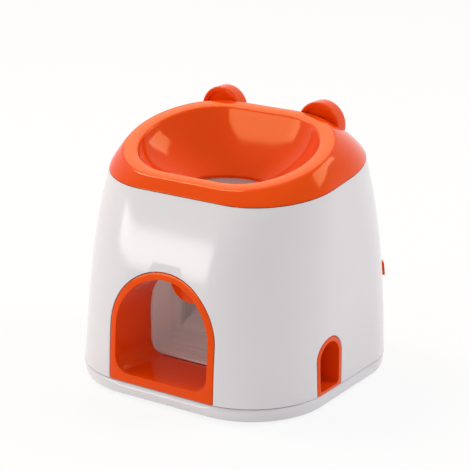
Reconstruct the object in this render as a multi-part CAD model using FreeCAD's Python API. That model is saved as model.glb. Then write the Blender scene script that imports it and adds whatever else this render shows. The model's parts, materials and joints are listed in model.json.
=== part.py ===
import FreeCAD, Part
import math
import os

Vec = FreeCAD.Vector

# Gravity-run ball return and treat dispenser for dogs. Sizes in millimetres.
# +Z is up, the ball comes out at the front (-Y) and the treats at the right side (+X).

# ---- driving sizes ---------------------------------------------------------------------
ball_diameter = 66.0            # an ordinary tennis ball
hole_play = 3.0                 # room round the ball in the funnel's hole
well_play = 5.5                 # room round the ball in the chamber
arch_play = 7.0                 # room round the ball in the front arch

# casing: rounded plan, leaning back at the front, nearly upright at the back
base_half_x = 101.0
base_half_y = 95.0
base_front_radius = 62.4
base_back_radius = 53.8
top_half_x = 93.0
top_half_y = 79.4
top_front_radius = 56.2
top_back_radius = 78.0
top_shift_y = 12.8              # the top outline sits further back than the base
top_slope = 0.118               # rise of the white and orange joint line towards the back
seam_height = 12.1              # joint line between base tray and casing
top_height = 161.9              # joint line between casing and cap, at its centre
bulge_x = 1.9
bulge_y = 3.4
wall = 2.5
seam_gap = 0.3

# base tray
foot_proud = 1.2                # how far the rubber feet stand below the tray
tray_floor = 2.5
tray_wall = 4.5
tray_draft = 1.4
tray_edge_radius = 3.6
tongue_height = 4.0
tongue_gap = 0.7
foot_radius = 9.0
foot_recess = 1.3
foot_x = 52.0
foot_front_y = -68.0
foot_back_y = 70.0
post_top = 9.0
post_radius = 5.6

# screws
screw_radius = 1.4
screw_head_radius = 3.1
screw_head_height = 2.1
screw_hole_gap = 0.3
pilot_gap = 0.05
boss_radius = 4.0
boss_top = 24.0
seat_gap = 0.3                  # small clearance between pieces that seat on each other

# cap: rim plane, funnel mouth and hole
rim_half_x = 83.4
rim_half_y = 54.6
rim_radius = 56.6
rim_centre_y = -6.9
rim_height = 178.5
rim_slope = 0.305
rim_edge_radius = 3.4
cap_bulge_x = 2.6
cap_bulge_y = 3.0
cap_bulge_z = 1.4
mouth_half_x = 71.0
mouth_half_y = 46.0
mouth_radius = 47.5
hole_radius = ball_diameter / 2 + hole_play
hole_centre_y = -13.0
hole_height = 142.5
bowl_wall = 2.4
bowl_fullness = 0.62            # how steep the upper part of the bowl is

# ears on the cap
ear_radius = 18.5
ear_x = 43.5
ear_centre_z = 187.0
ear_front_y = 48.5
ear_depth = 11.5
ear_rim = 3.2
ear_recess = 5.5
ear_lip = 7.5                   # ear recess starts this far above the ear's centre
ear_edge_radius = 2.6

# front ball outlet
arch_frame = 5.3
arch_radius = ball_diameter / 2 + arch_play + arch_frame
arch_spring_z = 54.0
arch_sill = 7.4
arch_corner = 12.0
tunnel_wall = 2.5
tunnel_back_y = -50.3
frame_gap = 0.3
frame_depth = 2.4

# trigger flap
flap_axis_y = -56.0
flap_axis_z = 102.0
flap_half_width = 16.6
flap_thickness = 3.0
flap_bottom_z = 69.5
flap_hub_radius = 5.0
flap_slot_gap = 1.8
flap_swing = 62.0               # degrees, forward
shaft_radius = 3.0
shaft_gap = 0.05
lug_inner_x = 24.0
lug_thickness = 4.0
lug_radius = 5.6
bush_wall = 1.4
bush_flange = 1.0
bush_flange_radius = 6.0
clip_thickness = 0.8
clip_radius = 5.0
clip_gap = 0.4

# gear pair
gear_module = 1.6
sector_teeth_full = 56          # teeth that a full wheel of this size would have
pinion_teeth = 28
mesh_angle = -39.0              # direction from flap shaft to drum shaft, in the Y-Z plane
gear_width = 4.0
gear_backlash = 0.3
gear_x = 44.5
gear_hub_radius = 7.0
pressure_angle = 20.0

# metering drum and its housing
drum_radius = 17.0
drum_length = 23.2
drum_x = 53.4
drum_gap = 0.4
pocket_floor_radius = 6.5
pocket_half_angle = 34.0
pocket_end_wall = 1.8
housing_wall = 2.4
plate_thickness = 2.0
throat_half_y = 9.5
collar_height = 24.0
cover_screw_radius = 1.0

# ball chamber under the funnel
chamber_radius = ball_diameter / 2 + well_play
chamber_wall = 2.0
ramp_floor_z = 22.0
ramp_radius = 70.0
chamber_front_top = 109.0

# side treat outlet and chute
treat_y = -24.6
treat_arch_radius = 16.0
treat_spring_z = 38.0
treat_frame = 3.55
treat_sill = 2.6
treat_corner = 3.0
treat_wall = 1.8
treat_tunnel_x = 79.0
chute_start_x = 52.0
chute_start_z = 30.0
chute_step = 1.2                # drop from the chute's end to the outlet's floor
chute_wall_top = 39.2
chute_wall = 1.8
chute_back_y = -2.8

# treat hopper
hopper_x = (22.0, 84.0)
hopper_front_y = 36.0
hopper_floor_z = 120.0
hopper_top_z = 151.0
hopper_wall = 1.8
hopper_flange_y = 82.0
hopper_screw_x = (25.0, 43.0)
hopper_screw_z = 104.0

# treat door on the rear right corner
door_z = (68.0, 151.0)
door_hinge_x = 12.0
door_hinge_y = 100.2
door_start_x = 15.2
door_free_y = 65.0
door_gap = 0.35
door_thickness = 2.4
door_corner = 8.0
door_lip = 1.2
door_lip_width = 3.5
knuckle_radius = 2.6
pin_radius = 1.0
lug_z = (86.0, 134.0)
hinge_lug = 6.0
mouth_x = (26.0, 80.0)
mouth_z = (122.0, 148.0)
mouth_corner = 4.0

# ---- sizes worked out from the ones above ----------------------------------------------
tray_bottom = foot_proud
tray_floor_top = tray_bottom + tray_floor
rear_extent = door_hinge_y + knuckle_radius
centre_shift = (rear_extent - base_half_y) / 2   # puts the origin under the middle
sector_radius = gear_module * sector_teeth_full / 2
pinion_radius = gear_module * pinion_teeth / 2
mesh_distance = sector_radius + pinion_radius
drum_axis_y = flap_axis_y + mesh_distance * math.cos(math.radians(mesh_angle))
drum_axis_z = flap_axis_z + mesh_distance * math.sin(math.radians(mesh_angle))
inner_arch_radius = arch_radius - arch_frame
inner_sill_z = seam_height + arch_sill
treat_inner_radius = treat_arch_radius - treat_frame
treat_sill_z = seam_height + treat_sill
chute_end_z = treat_sill_z + chute_step
housing_radius = drum_radius + drum_gap + housing_wall
plate_left_x = drum_x - drum_gap - plate_thickness
cover_x = drum_x + drum_length + drum_gap
chamber_outer = chamber_radius + chamber_wall
chamber_top = hole_height - bowl_wall - seat_gap

body_screws = [(70.0, -62.0), (-70.0, -62.0), (73.0, 64.0), (-73.0, 64.0)]
outlet_screws = [(49.0, -66.0), (-49.0, -66.0)]
chamber_screws = [(45.6, hole_centre_y), (-45.6, hole_centre_y), (0.0, 32.4)]
housing_screws = [(plate_left_x + plate_thickness / 2, 14.0), (cover_x + plate_thickness / 2, 14.0)]
chute_screws = [(63.0, -20.0)]
treat_screws = [(87.0, -45.0), (87.0, -4.4)]
cap_screws = [(68.0, -44.0), (-68.0, -44.0), (82.0, 22.0), (-82.0, 22.0)]
cap_tab_z = 147.0
cap_tab = 3.0


# ---- small helpers ----------------------------------------------------------------------
def save(name, shape):
    """Write one sub-part, moved so that the origin lies under the middle of the object."""
    moved = shape.copy()
    moved.translate(Vec(0, -centre_shift, 0))
    moved.exportStep("parts/" + name + ".step")
    print(name, len(moved.Solids), round(moved.Volume / 1000, 2), moved.isValid())


def join(first, *others):
    shape = first
    for other in others:
        shape = shape.fuse(other)
    return shape.removeSplitter()


def cylinder_x(radius, x0, x1, y, z):
    return Part.makeCylinder(radius, x1 - x0, Vec(x0, y, z), Vec(1, 0, 0))


def cylinder_y(radius, y0, y1, x, z):
    return Part.makeCylinder(radius, y1 - y0, Vec(x, y0, z), Vec(0, 1, 0))


def cylinder_z(radius, z0, z1, x, y):
    return Part.makeCylinder(radius, z1 - z0, Vec(x, y, z0), Vec(0, 0, 1))


def box(x0, x1, y0, y1, z0, z1):
    return Part.makeBox(x1 - x0, y1 - y0, z1 - z0, Vec(x0, y0, z0))


def mirrored(shape):
    return shape.mirror(Vec(0, 0, 0), Vec(1, 0, 0))


def arc(start, middle, end):
    return Part.Arc(start, middle, end).toShape()


def outline(shape, inset=0.0, lift=0.0):
    """Rounded plan outline on a plane that may rise towards the back."""
    stretch = math.hypot(1.0, shape["slope"])
    hx = shape["half_x"] - inset
    hv = (shape["half_y"] - inset) * stretch
    rf = min(shape["front"] - inset, hx - 0.5, hv - 0.5)
    rb = min(shape["back"] - inset, hx - 0.5, 2 * hv - rf - 0.5)
    k = math.sqrt(0.5)
    corners = []
    for sx, sv, r in ((1, -1, rf), (1, 1, rb), (-1, 1, rb), (-1, -1, rf)):
        corners.append((sx * (hx - r), sv * (hv - r), sx, sv, r))
    edges = []
    last = Vec(corners[3][0], -hv, 0)
    for cx, cv, sx, sv, r in corners:
        mid = Vec(cx + sx * r * k, cv + sv * r * k, 0)
        along_x = Vec(cx + sx * r, cv, 0)
        along_v = Vec(cx, cv + sv * r, 0)
        first, second = (along_v, along_x) if sx == -sv else (along_x, along_v)
        edges.append(Part.LineSegment(last, first).toShape())
        edges.append(arc(first, mid, second))
        last = second
    wire = Part.Wire(edges)
    wire.rotate(Vec(0, 0, 0), Vec(1, 0, 0), math.degrees(math.atan(shape["slope"])))
    wire.translate(Vec(0, shape["centre"], shape["height"] + lift))
    return wire


def between(low, high, t):
    return {key: low[key] + (high[key] - low[key]) * t for key in low}


def prism(wire, dz):
    return Part.Face(wire).extrude(Vec(0, 0, dz))


# ---- casing shapes ----------------------------------------------------------------------
casing_foot = {"half_x": base_half_x, "half_y": base_half_y, "front": base_front_radius,
               "back": base_back_radius, "centre": 0.0, "height": seam_height, "slope": 0.0}
casing_head = {"half_x": top_half_x, "half_y": top_half_y, "front": top_front_radius,
               "back": top_back_radius, "centre": top_shift_y, "height": top_height,
               "slope": top_slope}
rim_shape = {"half_x": rim_half_x, "half_y": rim_half_y, "front": rim_radius,
             "back": rim_radius, "centre": rim_centre_y, "height": rim_height,
             "slope": rim_slope}
mouth_shape = {"half_x": mouth_half_x, "half_y": mouth_half_y, "front": mouth_radius,
               "back": mouth_radius, "centre": rim_centre_y, "height": rim_height,
               "slope": rim_slope}
hole_shape = {"half_x": hole_radius, "half_y": hole_radius, "front": hole_radius,
              "back": hole_radius, "centre": hole_centre_y, "height": hole_height,
              "slope": 0.0}


def casing_shape(t):
    shape = between(casing_foot, casing_head, t)
    shape["half_x"] += 4 * bulge_x * t * (1 - t)
    shape["half_y"] += 4 * bulge_y * t * (1 - t)
    return shape


def casing_solid(inset, low=0.0, high=1.0):
    """Closed solid of the casing's outside, drawn in by inset, between two height shares."""
    wires = [outline(casing_shape(t), inset) for t in (low, (low + high) / 2, high)]
    return Part.makeLoft(wires, True, False)


def cap_waist():
    shape = between(casing_head, rim_shape, 0.5)
    shape["half_x"] += cap_bulge_x
    shape["half_y"] += cap_bulge_y
    shape["height"] += cap_bulge_z
    return shape


def cap_solid(inset):
    wires = [outline(casing_head, inset, seam_gap), outline(cap_waist(), inset),
             outline(rim_shape, inset, -inset)]
    return Part.makeLoft(wires, True, False)


def bowl_solid(grow, drop):
    """Inside of the funnel, or its underside when grown by the bowl's wall."""
    waist = between(hole_shape, mouth_shape, 0.45)
    reach = bowl_fullness
    waist["half_x"] = hole_radius + (mouth_half_x - hole_radius) * reach
    waist["half_y"] = hole_radius + (mouth_half_y - hole_radius) * reach
    wires = [outline(hole_shape, -grow, -drop), outline(waist, -grow, -drop * 0.5),
             outline(mouth_shape, -grow, -1.0 if drop else 0.0)]
    return Part.makeLoft(wires, True, False)


# ---- casing pieces ----------------------------------------------------------------------
def base_post(x, y):
    return cylinder_z(post_radius, tray_bottom, post_top, x, y)


def base_bore(x, y):
    """Clearance hole with a counterbore that the screw head sits in."""
    head_top = tray_bottom + 2.6 + screw_head_height
    bore = cylinder_z(screw_radius + screw_hole_gap, 0, post_top + 1, x, y)
    return bore.fuse(cylinder_z(screw_head_radius + screw_hole_gap, 0, head_top, x, y))


def screw_up(x, y, length):
    head_z = tray_bottom + 2.6
    head = cylinder_z(screw_head_radius, head_z, head_z + screw_head_height - 0.1, x, y)
    shank = cylinder_z(screw_radius, head_z, head_z + screw_head_height + length, x, y)
    slot = box(x - 1.9, x + 1.9, y - 0.4, y + 0.4, head_z - 1, head_z + 1)
    cross = box(x - 0.4, x + 0.4, y - 1.9, y + 1.9, head_z - 1, head_z + 1)
    return head.fuse(shank).cut(slot.fuse(cross))


def boss(x, y, top=boss_top):
    """Pillar that stands on a base post and takes the screw from below."""
    return cylinder_z(boss_radius, post_top + seat_gap, top, x, y)


def pilot(x, y):
    return cylinder_z(screw_radius + pilot_gap, 0, post_top + 13.0, x, y)


def base_tray():
    low = dict(casing_foot)
    low["height"] = tray_bottom
    outer = Part.makeLoft([outline(low, tray_draft), outline(casing_foot, 0, -seam_gap / 2)], True)
    rim = [e for e in outer.Edges if e.BoundBox.ZMax < tray_bottom + 0.01]
    outer = outer.makeFillet(tray_edge_radius, rim)
    low["height"] = tray_floor_top
    outer = outer.cut(prism(outline(low, tray_wall), seam_height))
    low["height"] = seam_height - 2.0
    tongue = prism(outline(low, wall + tongue_gap), tongue_height + 2.0)
    tongue = tongue.cut(prism(outline(low, tray_wall), tongue_height + 3.0))
    tray = join(outer, tongue)
    points = (body_screws + outlet_screws + chamber_screws + housing_screws
              + chute_screws + treat_screws)
    for x, y in points:
        tray = tray.fuse(base_post(x, y))
    for x, y in points:
        tray = tray.cut(base_bore(x, y))
    half = treat_inner_radius + treat_wall + seat_gap
    tray = tray.cut(box(treat_tunnel_x, base_half_x + 1, treat_y - half, treat_y + half,
                        treat_sill_z - treat_wall - seat_gap, seam_height + tongue_height + 1))
    for x, y in foot_points():
        tray = tray.cut(cylinder_z(foot_radius + seat_gap / 2, 0, tray_bottom + foot_recess, x, y))
    return tray.removeSplitter()


def foot_points():
    return [(sx * foot_x, y) for y in (foot_front_y, foot_back_y) for sx in (-1, 1)]


def rubber_foot(x, y):
    pad = cylinder_z(foot_radius, 0, tray_bottom + foot_recess, x, y)
    rim = [e for e in pad.Edges if e.BoundBox.ZMax < 0.01]
    return pad.makeFillet(0.8, rim)


def wall_rib(x, y, z0, z1, thickness):
    """Flat rib from a boss out to the casing wall."""
    length = 30.0
    rib = box(0, length, -thickness / 2, thickness / 2, z0, z1)
    rib.rotate(Vec(0, 0, 0), Vec(0, 0, 1), math.degrees(math.atan2(y, x)))
    rib.translate(Vec(x, y, 0))
    return rib


def front_arch(radius, bottom, corner, y0, y1):
    """Arch-topped prism along Y."""
    if corner > 0:
        k = corner * (1 - math.sqrt(0.5))
        left = [Vec(-radius, y0, bottom + corner), Vec(-radius + k, y0, bottom + k),
                Vec(-radius + corner, y0, bottom)]
        right = [Vec(-p.x, y0, p.z) for p in reversed(left)]
        edges = [arc(*left), Part.LineSegment(left[2], right[0]).toShape(), arc(*right)]
        start, end = right[2], left[0]
    else:
        start, end = Vec(radius, y0, bottom), Vec(-radius, y0, bottom)
        edges = [Part.LineSegment(end, start).toShape()]
    spring = Vec(radius, y0, arch_spring_z)
    crown = Vec(0, y0, arch_spring_z + radius)
    fall = Vec(-radius, y0, arch_spring_z)
    edges.append(Part.LineSegment(start, spring).toShape())
    edges.append(arc(spring, crown, fall))
    edges.append(Part.LineSegment(fall, end).toShape())
    return Part.Face(Part.Wire(edges)).extrude(Vec(0, y1 - y0, 0))


def side_arch(radius, bottom, corner, x0, x1):
    """Arch-topped prism along X for the treat outlet."""
    c = max(corner, 0.01)
    k = c * (1 - math.sqrt(0.5))
    left = [Vec(x0, treat_y - radius, bottom + c), Vec(x0, treat_y - radius + k, bottom + k),
            Vec(x0, treat_y - radius + c, bottom)]
    right = [Vec(x0, 2 * treat_y - p.y, p.z) for p in reversed(left)]
    spring = Vec(x0, treat_y + radius, treat_spring_z)
    crown = Vec(x0, treat_y, treat_spring_z + radius)
    fall = Vec(x0, treat_y - radius, treat_spring_z)
    edges = [arc(*left), Part.LineSegment(left[2], right[0]).toShape(), arc(*right),
             Part.LineSegment(right[2], spring).toShape(), arc(spring, crown, fall),
             Part.LineSegment(fall, left[0]).toShape()]
    return Part.Face(Part.Wire(edges)).extrude(Vec(x1 - x0, 0, 0))


def rounded_plate(u0, u1, w0, w1, r, along):
    """Rounded rectangle prism: along "y" it spans X and Z, along "x" it spans Y and Z."""
    k = r * (1 - math.sqrt(0.5))
    ring = [(u0 + r, w0), (u1 - r, w0), (u1 - k, w0 + k), (u1, w0 + r), (u1, w1 - r),
            (u1 - k, w1 - k), (u1 - r, w1), (u0 + r, w1), (u0 + k, w1 - k), (u0, w1 - r),
            (u0, w0 + r), (u0 + k, w0 + k)]
    if along == "y":
        p = [Vec(u, 0, w) for u, w in ring]
        step = Vec(0, 200, 0)
    else:
        p = [Vec(0, u, w) for u, w in ring]
        step = Vec(200, 0, 0)
    edges = []
    for i in (0, 3, 6, 9):
        edges.append(Part.LineSegment(p[i], p[(i + 1) % 12]).toShape())
        edges.append(arc(p[(i + 1) % 12], p[(i + 2) % 12], p[(i + 3) % 12]))
    return Part.Face(Part.Wire(edges)).extrude(step)


def door_lugs():
    lugs = []
    for z0 in (lug_z[0], lug_z[1] - hinge_lug):
        lug = cylinder_z(knuckle_radius, z0, z0 + hinge_lug, door_hinge_x, door_hinge_y)
        web = box(door_hinge_x - knuckle_radius, door_hinge_x + knuckle_radius,
                  door_hinge_y - 7.0, door_hinge_y, z0, z0 + hinge_lug)
        lugs.append(lug.fuse(web))
    return join(*lugs).cut(casing_solid(wall / 2))


def body_shell():
    shell = casing_solid(0).cut(casing_solid(wall, -0.02, 1.02))
    inside = casing_solid(1.0)
    for x, y in body_screws:
        rib = wall_rib(x, y, seam_height + tongue_height + 1.0, boss_top + 20, 2.0).common(inside)
        shell = shell.fuse(boss(x, y, boss_top + 20)).fuse(rib)
    for x, y in cap_screws:
        tab = cylinder_z(boss_radius + 1.5, cap_tab_z, cap_tab_z + cap_tab, x, y)
        arm = wall_rib(x, y, cap_tab_z, cap_tab_z + cap_tab, 2 * boss_radius)
        gusset = wall_rib(x, y, cap_tab_z - 12, cap_tab_z + cap_tab, 2.0)
        gusset = gusset.cut(cylinder_z(boss_radius + 2.5, 0, cap_tab_z, x, y))
        shell = shell.fuse(join(tab, arm, gusset).common(inside))
        shell = shell.cut(cylinder_z(screw_radius + screw_hole_gap, 0, 200, x, y))
    for x in hopper_screw_x:
        y0 = hopper_flange_y + hopper_wall + seat_gap
        shell = shell.fuse(cylinder_y(boss_radius, y0, base_half_y + 5, x, hopper_screw_z).common(inside))
        shell = shell.cut(cylinder_y(screw_radius + pilot_gap, 0, y0 + 8.0, x, hopper_screw_z))
    shell = shell.fuse(door_lugs())
    shell = shell.cut(cylinder_z(pin_radius + shaft_gap, 0, 200, door_hinge_x, door_hinge_y))
    for x, y in body_screws:
        shell = shell.cut(pilot(x, y))
    gap = frame_gap
    shell = shell.cut(front_arch(arch_radius + gap, 0, 0, -120, -45))
    shell = shell.cut(side_arch(treat_arch_radius + gap, 0, 0, 80, 130))
    mouth = rounded_plate(mouth_x[0], mouth_x[1], mouth_z[0], mouth_z[1], mouth_corner, "y")
    shell = shell.cut(mouth)
    return shell.removeSplitter()


def ear(side):
    """Round upright ear with a recessed front, moulded with the cap."""
    y1 = ear_front_y + ear_depth
    disc = cylinder_y(ear_radius, ear_front_y, y1, side * ear_x, ear_centre_z)
    round_edges = [e for e in disc.Edges if e.Curve.TypeId == "Part::GeomCircle"]
    disc = disc.makeFillet(ear_edge_radius, round_edges)
    cup = cylinder_y(ear_radius - ear_rim, ear_front_y - 1, ear_front_y + ear_recess,
                     side * ear_x, ear_centre_z)
    low = ear_centre_z + ear_lip
    cup = cup.common(box(side * ear_x - 40, side * ear_x + 40, 0, 100, low, low + 60))
    return disc, cup


def top_cap():
    outer = cap_solid(0)
    top_edges = []
    for edge in outer.Edges:
        middle = edge.valueAt((edge.FirstParameter + edge.LastParameter) / 2)
        plane_z = rim_height + rim_slope * (middle.y - rim_centre_y)
        if abs(middle.z - plane_z) < 0.05:
            top_edges.append(edge)
    outer = outer.makeFillet(rim_edge_radius, top_edges)
    inner = cap_solid(wall)
    sole = outline(casing_head, wall, seam_gap + 0.5)
    inner = inner.fuse(prism(sole, -12.0))
    shell = outer.cut(inner)
    ring = prism(outline(casing_head, wall + tongue_gap, -tongue_height), tongue_height + 4.0)
    collar = prism(outline(casing_head, wall / 2, seam_gap + 1.0), 3.0)
    hollow = prism(outline(casing_head, wall + 2.0, -tongue_height - 1), tongue_height + 8.0)
    shell = shell.fuse(ring.fuse(collar).cut(hollow))
    shell = shell.fuse(bowl_solid(bowl_wall, bowl_wall))
    within = cap_solid(wall / 2)
    for x, y in cap_screws:
        pillar = cylinder_z(boss_radius, cap_tab_z + cap_tab + seat_gap, 200, x, y)
        low = cylinder_z(boss_radius, cap_tab_z + cap_tab + seat_gap, 172, x, y)
        shell = shell.fuse(pillar.common(within)).fuse(low.common(within.fuse(casing_solid(wall + 1.5, 0.5, 1.04))))
    for side in (-1, 1):
        disc, cup = ear(side)
        disc = disc.cut(cap_solid(wall))
        shell = shell.fuse(disc).cut(cup)
    shell = shell.cut(bowl_solid(0, 0))
    above = Part.Face(outline(mouth_shape, 0, -0.01)).extrude(Vec(0, 0, 30))
    shell = shell.cut(above)
    shell = shell.cut(cylinder_z(hole_radius, 0, hole_height + 1, 0, hole_centre_y))
    for x, y in cap_screws:
        shell = shell.cut(cylinder_z(screw_radius + pilot_gap, 0, cap_tab_z + 16, x, y))
    return shell.removeSplitter()


def cap_screw(x, y):
    head = cylinder_z(screw_head_radius, cap_tab_z - screw_head_height - 0.1, cap_tab_z - 0.1, x, y)
    return head.fuse(cylinder_z(screw_radius, cap_tab_z - 1, cap_tab_z + 14, x, y))


# ---- ball path --------------------------------------------------------------------------
def tunnel_boss(x, y, wall_x):
    side = 1 if x > 0 else -1
    web = box(min(side * wall_x, x), max(side * wall_x, x), y - 1.2, y + 1.2,
              inner_sill_z - tunnel_wall, boss_top)
    return boss(x, y).fuse(web)


def ball_outlet():
    front = casing_solid(0)
    skin = front.cut(casing_solid(frame_depth))
    frame = front_arch(arch_radius, seam_height + seam_gap, 0, -120, -60).common(skin)
    tube = front_arch(inner_arch_radius + tunnel_wall, inner_sill_z - tunnel_wall,
                      arch_corner, -120, tunnel_back_y).common(front)
    shape = frame.fuse(tube)
    for side in (-1, 1):
        x0 = lug_inner_x if side > 0 else -lug_inner_x - lug_thickness
        lug = cylinder_x(lug_radius, x0, x0 + lug_thickness, flap_axis_y, flap_axis_z)
        leg = box(x0, x0 + lug_thickness, flap_axis_y - lug_radius, flap_axis_y + lug_radius,
                  arch_spring_z + 20, flap_axis_z)
        shape = shape.fuse(lug).fuse(leg)
    for x, y in outlet_screws:
        shape = shape.fuse(tunnel_boss(x, y, inner_arch_radius + 1))
    shape = shape.cut(front_arch(inner_arch_radius, inner_sill_z, arch_corner, -130, 0))
    reach = flap_axis_z - (arch_spring_z + inner_arch_radius)
    slot_front = flap_axis_y - reach * math.tan(math.radians(flap_swing)) - flap_thickness - 6.0
    half = flap_half_width + flap_slot_gap
    shape = shape.cut(box(-half, half, slot_front, 0, arch_spring_z + 20, flap_axis_z + 20))
    bore = shaft_radius + shaft_gap + bush_wall + shaft_gap
    shape = shape.cut(cylinder_x(bore, -60, 60, flap_axis_y, flap_axis_z))
    for x, y in outlet_screws:
        shape = shape.cut(pilot(x, y))
    return shape.removeSplitter()


def flap_bush(side):
    x0 = lug_inner_x
    body = cylinder_x(shaft_radius + shaft_gap + bush_wall, x0, x0 + lug_thickness,
                      flap_axis_y, flap_axis_z)
    flange_x = x0 + lug_thickness
    flange = cylinder_x(bush_flange_radius, flange_x, flange_x + bush_flange,
                        flap_axis_y, flap_axis_z)
    bush = body.fuse(flange).cut(cylinder_x(shaft_radius + shaft_gap, 0, 60,
                                            flap_axis_y, flap_axis_z))
    return bush if side > 0 else mirrored(bush)


def trigger_flap():
    y0 = flap_axis_y - flap_thickness / 2
    y1 = y0 + flap_thickness
    centre_z = flap_bottom_z + flap_half_width
    tongue = cylinder_y(flap_half_width, y0, y1, 0, centre_z)
    stem = box(-flap_half_width, flap_half_width, y0, y1, centre_z, flap_axis_z)
    flap = join(tongue, stem, cylinder_x(flap_hub_radius, -flap_half_width, flap_half_width,
                                         flap_axis_y, flap_axis_z))
    for x in (-9.0, 0.0, 9.0):
        rib = box(x - 0.8, x + 0.8, y1, y1 + 1.6, centre_z - 8, flap_axis_z - 2)
        flap = flap.fuse(rib)
    bore = cylinder_x(shaft_radius + shaft_gap, -60, 60, flap_axis_y, flap_axis_z)
    return flap.cut(bore).removeSplitter()


def flap_shaft():
    left = -(lug_inner_x + lug_thickness + bush_flange + clip_gap + 2 * clip_thickness + 1.0)
    right = gear_x + gear_width + 1.5 + clip_gap + 2 * clip_thickness + 1.0
    return cylinder_x(shaft_radius, left, right, flap_axis_y, flap_axis_z)


def shaft_clip(x, y, z):
    """Retaining ring, open at one side."""
    ring = cylinder_x(clip_radius, x, x + clip_thickness, y, z)
    ring = ring.cut(cylinder_x(shaft_radius + shaft_gap, x - 1, x + 2, y, z))
    return ring.cut(box(x - 1, x + 2, y - 1.6, y + 1.6, z - clip_radius - 1, z))


def flap_clips():
    left = -(lug_inner_x + lug_thickness + bush_flange + clip_gap + clip_thickness)
    right = gear_x + gear_width + 1.5 + clip_gap
    return Part.makeCompound([shaft_clip(left, flap_axis_y, flap_axis_z),
                              shaft_clip(right, flap_axis_y, flap_axis_z)])


def return_spring():
    """Torsion spring round the flap shaft, with its two legs."""
    x0 = lug_inner_x + lug_thickness + bush_flange + seat_gap
    length = 7.0
    inner = shaft_radius + 1.2
    coil = cylinder_x(inner + 1.0, x0, x0 + length, flap_axis_y, flap_axis_z)
    coil = coil.cut(cylinder_x(inner, x0 - 1, x0 + length + 1, flap_axis_y, flap_axis_z))
    y = flap_axis_y + inner + 0.5
    leg_down = cylinder_z(0.5, flap_axis_z - 12, flap_axis_z, x0 + 0.6, y)
    leg_up = cylinder_z(0.5, flap_axis_z, flap_axis_z + 12, x0 + length - 0.6, y)
    return join(coil, leg_down, leg_up)


def ball_ramp():
    """White chamber below the funnel: round well, curved ramp at the back, open front."""
    bottom = post_top + seat_gap
    cy = hole_centre_y
    front = tunnel_back_y + seat_gap
    well = cylinder_z(chamber_outer, bottom, chamber_top, 0, cy)
    bay = box(-chamber_outer, chamber_outer, front, cy, bottom, chamber_front_top - 11)
    outer = well.fuse(bay)
    outer = outer.cut(box(-60, 60, -90, front, 0, chamber_front_top))
    inner = cylinder_z(chamber_radius, 0, 200, 0, cy)
    inner = inner.fuse(box(-chamber_radius, chamber_radius, -90, cy, 0, chamber_front_top - 11))
    shell = outer.cut(inner)
    half = lug_inner_x + lug_thickness + bush_flange + 3.0
    gate = box(-half, half, -90, cy - 20, ramp_floor_z, chamber_front_top)
    shell = shell.cut(gate)
    arc_y = cy + chamber_radius - ramp_radius
    arc_z = ramp_floor_z + ramp_radius
    tube = cylinder_x(ramp_radius + chamber_wall, -60, 60, arc_y, arc_z)
    tube = tube.cut(cylinder_x(ramp_radius, -61, 61, arc_y, arc_z))
    tube = tube.common(box(-60, 60, arc_y, 80, 0, arc_z))
    lip = box(-60, 60, front, arc_y, ramp_floor_z - chamber_wall, ramp_floor_z)
    shell = shell.fuse(tube.fuse(lip).common(outer))
    for x, y in chamber_screws:
        web = box(-1.2, 1.2, 0, math.hypot(x, y - cy), bottom, boss_top)
        web.rotate(Vec(0, 0, 0), Vec(0, 0, 1), math.degrees(math.atan2(-x, y - cy)))
        web.translate(Vec(0, cy, 0))
        web = web.cut(cylinder_z(chamber_radius + 0.5, 0, 60, 0, cy))
        shell = shell.fuse(boss(x, y, boss_top)).fuse(web)
    for x, y in chamber_screws:
        shell = shell.cut(pilot(x, y))
    return shell.removeSplitter()


# ---- gears ------------------------------------------------------------------------------
def involute_point(base, radius):
    """Angle by which the involute has turned at a given radius."""
    ratio = min(1.0, base / radius)
    pressure = math.acos(ratio)
    return math.tan(pressure) - pressure


def tooth_points(teeth):
    """One tooth centred on the +Y axis of the Y-Z plane, from root to tip and back."""
    pitch = gear_module * teeth / 2
    base = pitch * math.cos(math.radians(pressure_angle))
    root = pitch - 1.25 * gear_module
    tip = pitch + gear_module * 0.95
    half = (math.pi * gear_module / 2 - gear_backlash / 2) / (2 * pitch)
    at_pitch = involute_point(base, pitch)
    flank = []
    for share in (0.0, 0.35, 0.7, 1.0):
        radius = max(base, root) + (tip - max(base, root)) * share
        flank.append((radius, half + at_pitch - involute_point(base, radius)))
    if root < base:
        flank.insert(0, (root, flank[0][1]))
    return flank


def toothed_wheel(teeth, first, count, x0, x1, y, z, turn):
    """Teeth numbered from first, tooth 0 pointing at the angle turn, on a full disc rim."""
    flank = tooth_points(teeth)
    root = flank[0][0]
    pitch_angle = 2 * math.pi / teeth
    solids = []
    for i in range(first, first + count):
        centre = math.radians(turn) + i * pitch_angle
        ring = [(root - 1.0, centre - flank[0][1])]
        ring += [(r, centre - a) for r, a in flank]
        ring += [(r, centre + a) for r, a in reversed(flank)]
        ring += [(root - 1.0, centre + flank[0][1])]
        points = [Vec(x0, y + r * math.cos(a), z + r * math.sin(a)) for r, a in ring]
        face = Part.Face(Part.makePolygon(points + [points[0]]))
        solids.append(face.extrude(Vec(x1 - x0, 0, 0)))
    return solids, root


def sector_blank(radius, low, high, x0, x1, y, z):
    disc = cylinder_x(radius, x0, x1, y, z)
    a, b = math.radians(low), math.radians(high)
    far = radius * 3
    centre = Vec(x0 - 1, y, z)
    middle = (a + b) / 2
    ring = [centre] + [Vec(x0 - 1, y + far * math.cos(q), z + far * math.sin(q))
                       for q in (a, middle, b)]
    wedge = Part.Face(Part.makePolygon(ring + [centre])).extrude(Vec(x1 - x0 + 2, 0, 0))
    return disc.common(wedge)


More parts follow.
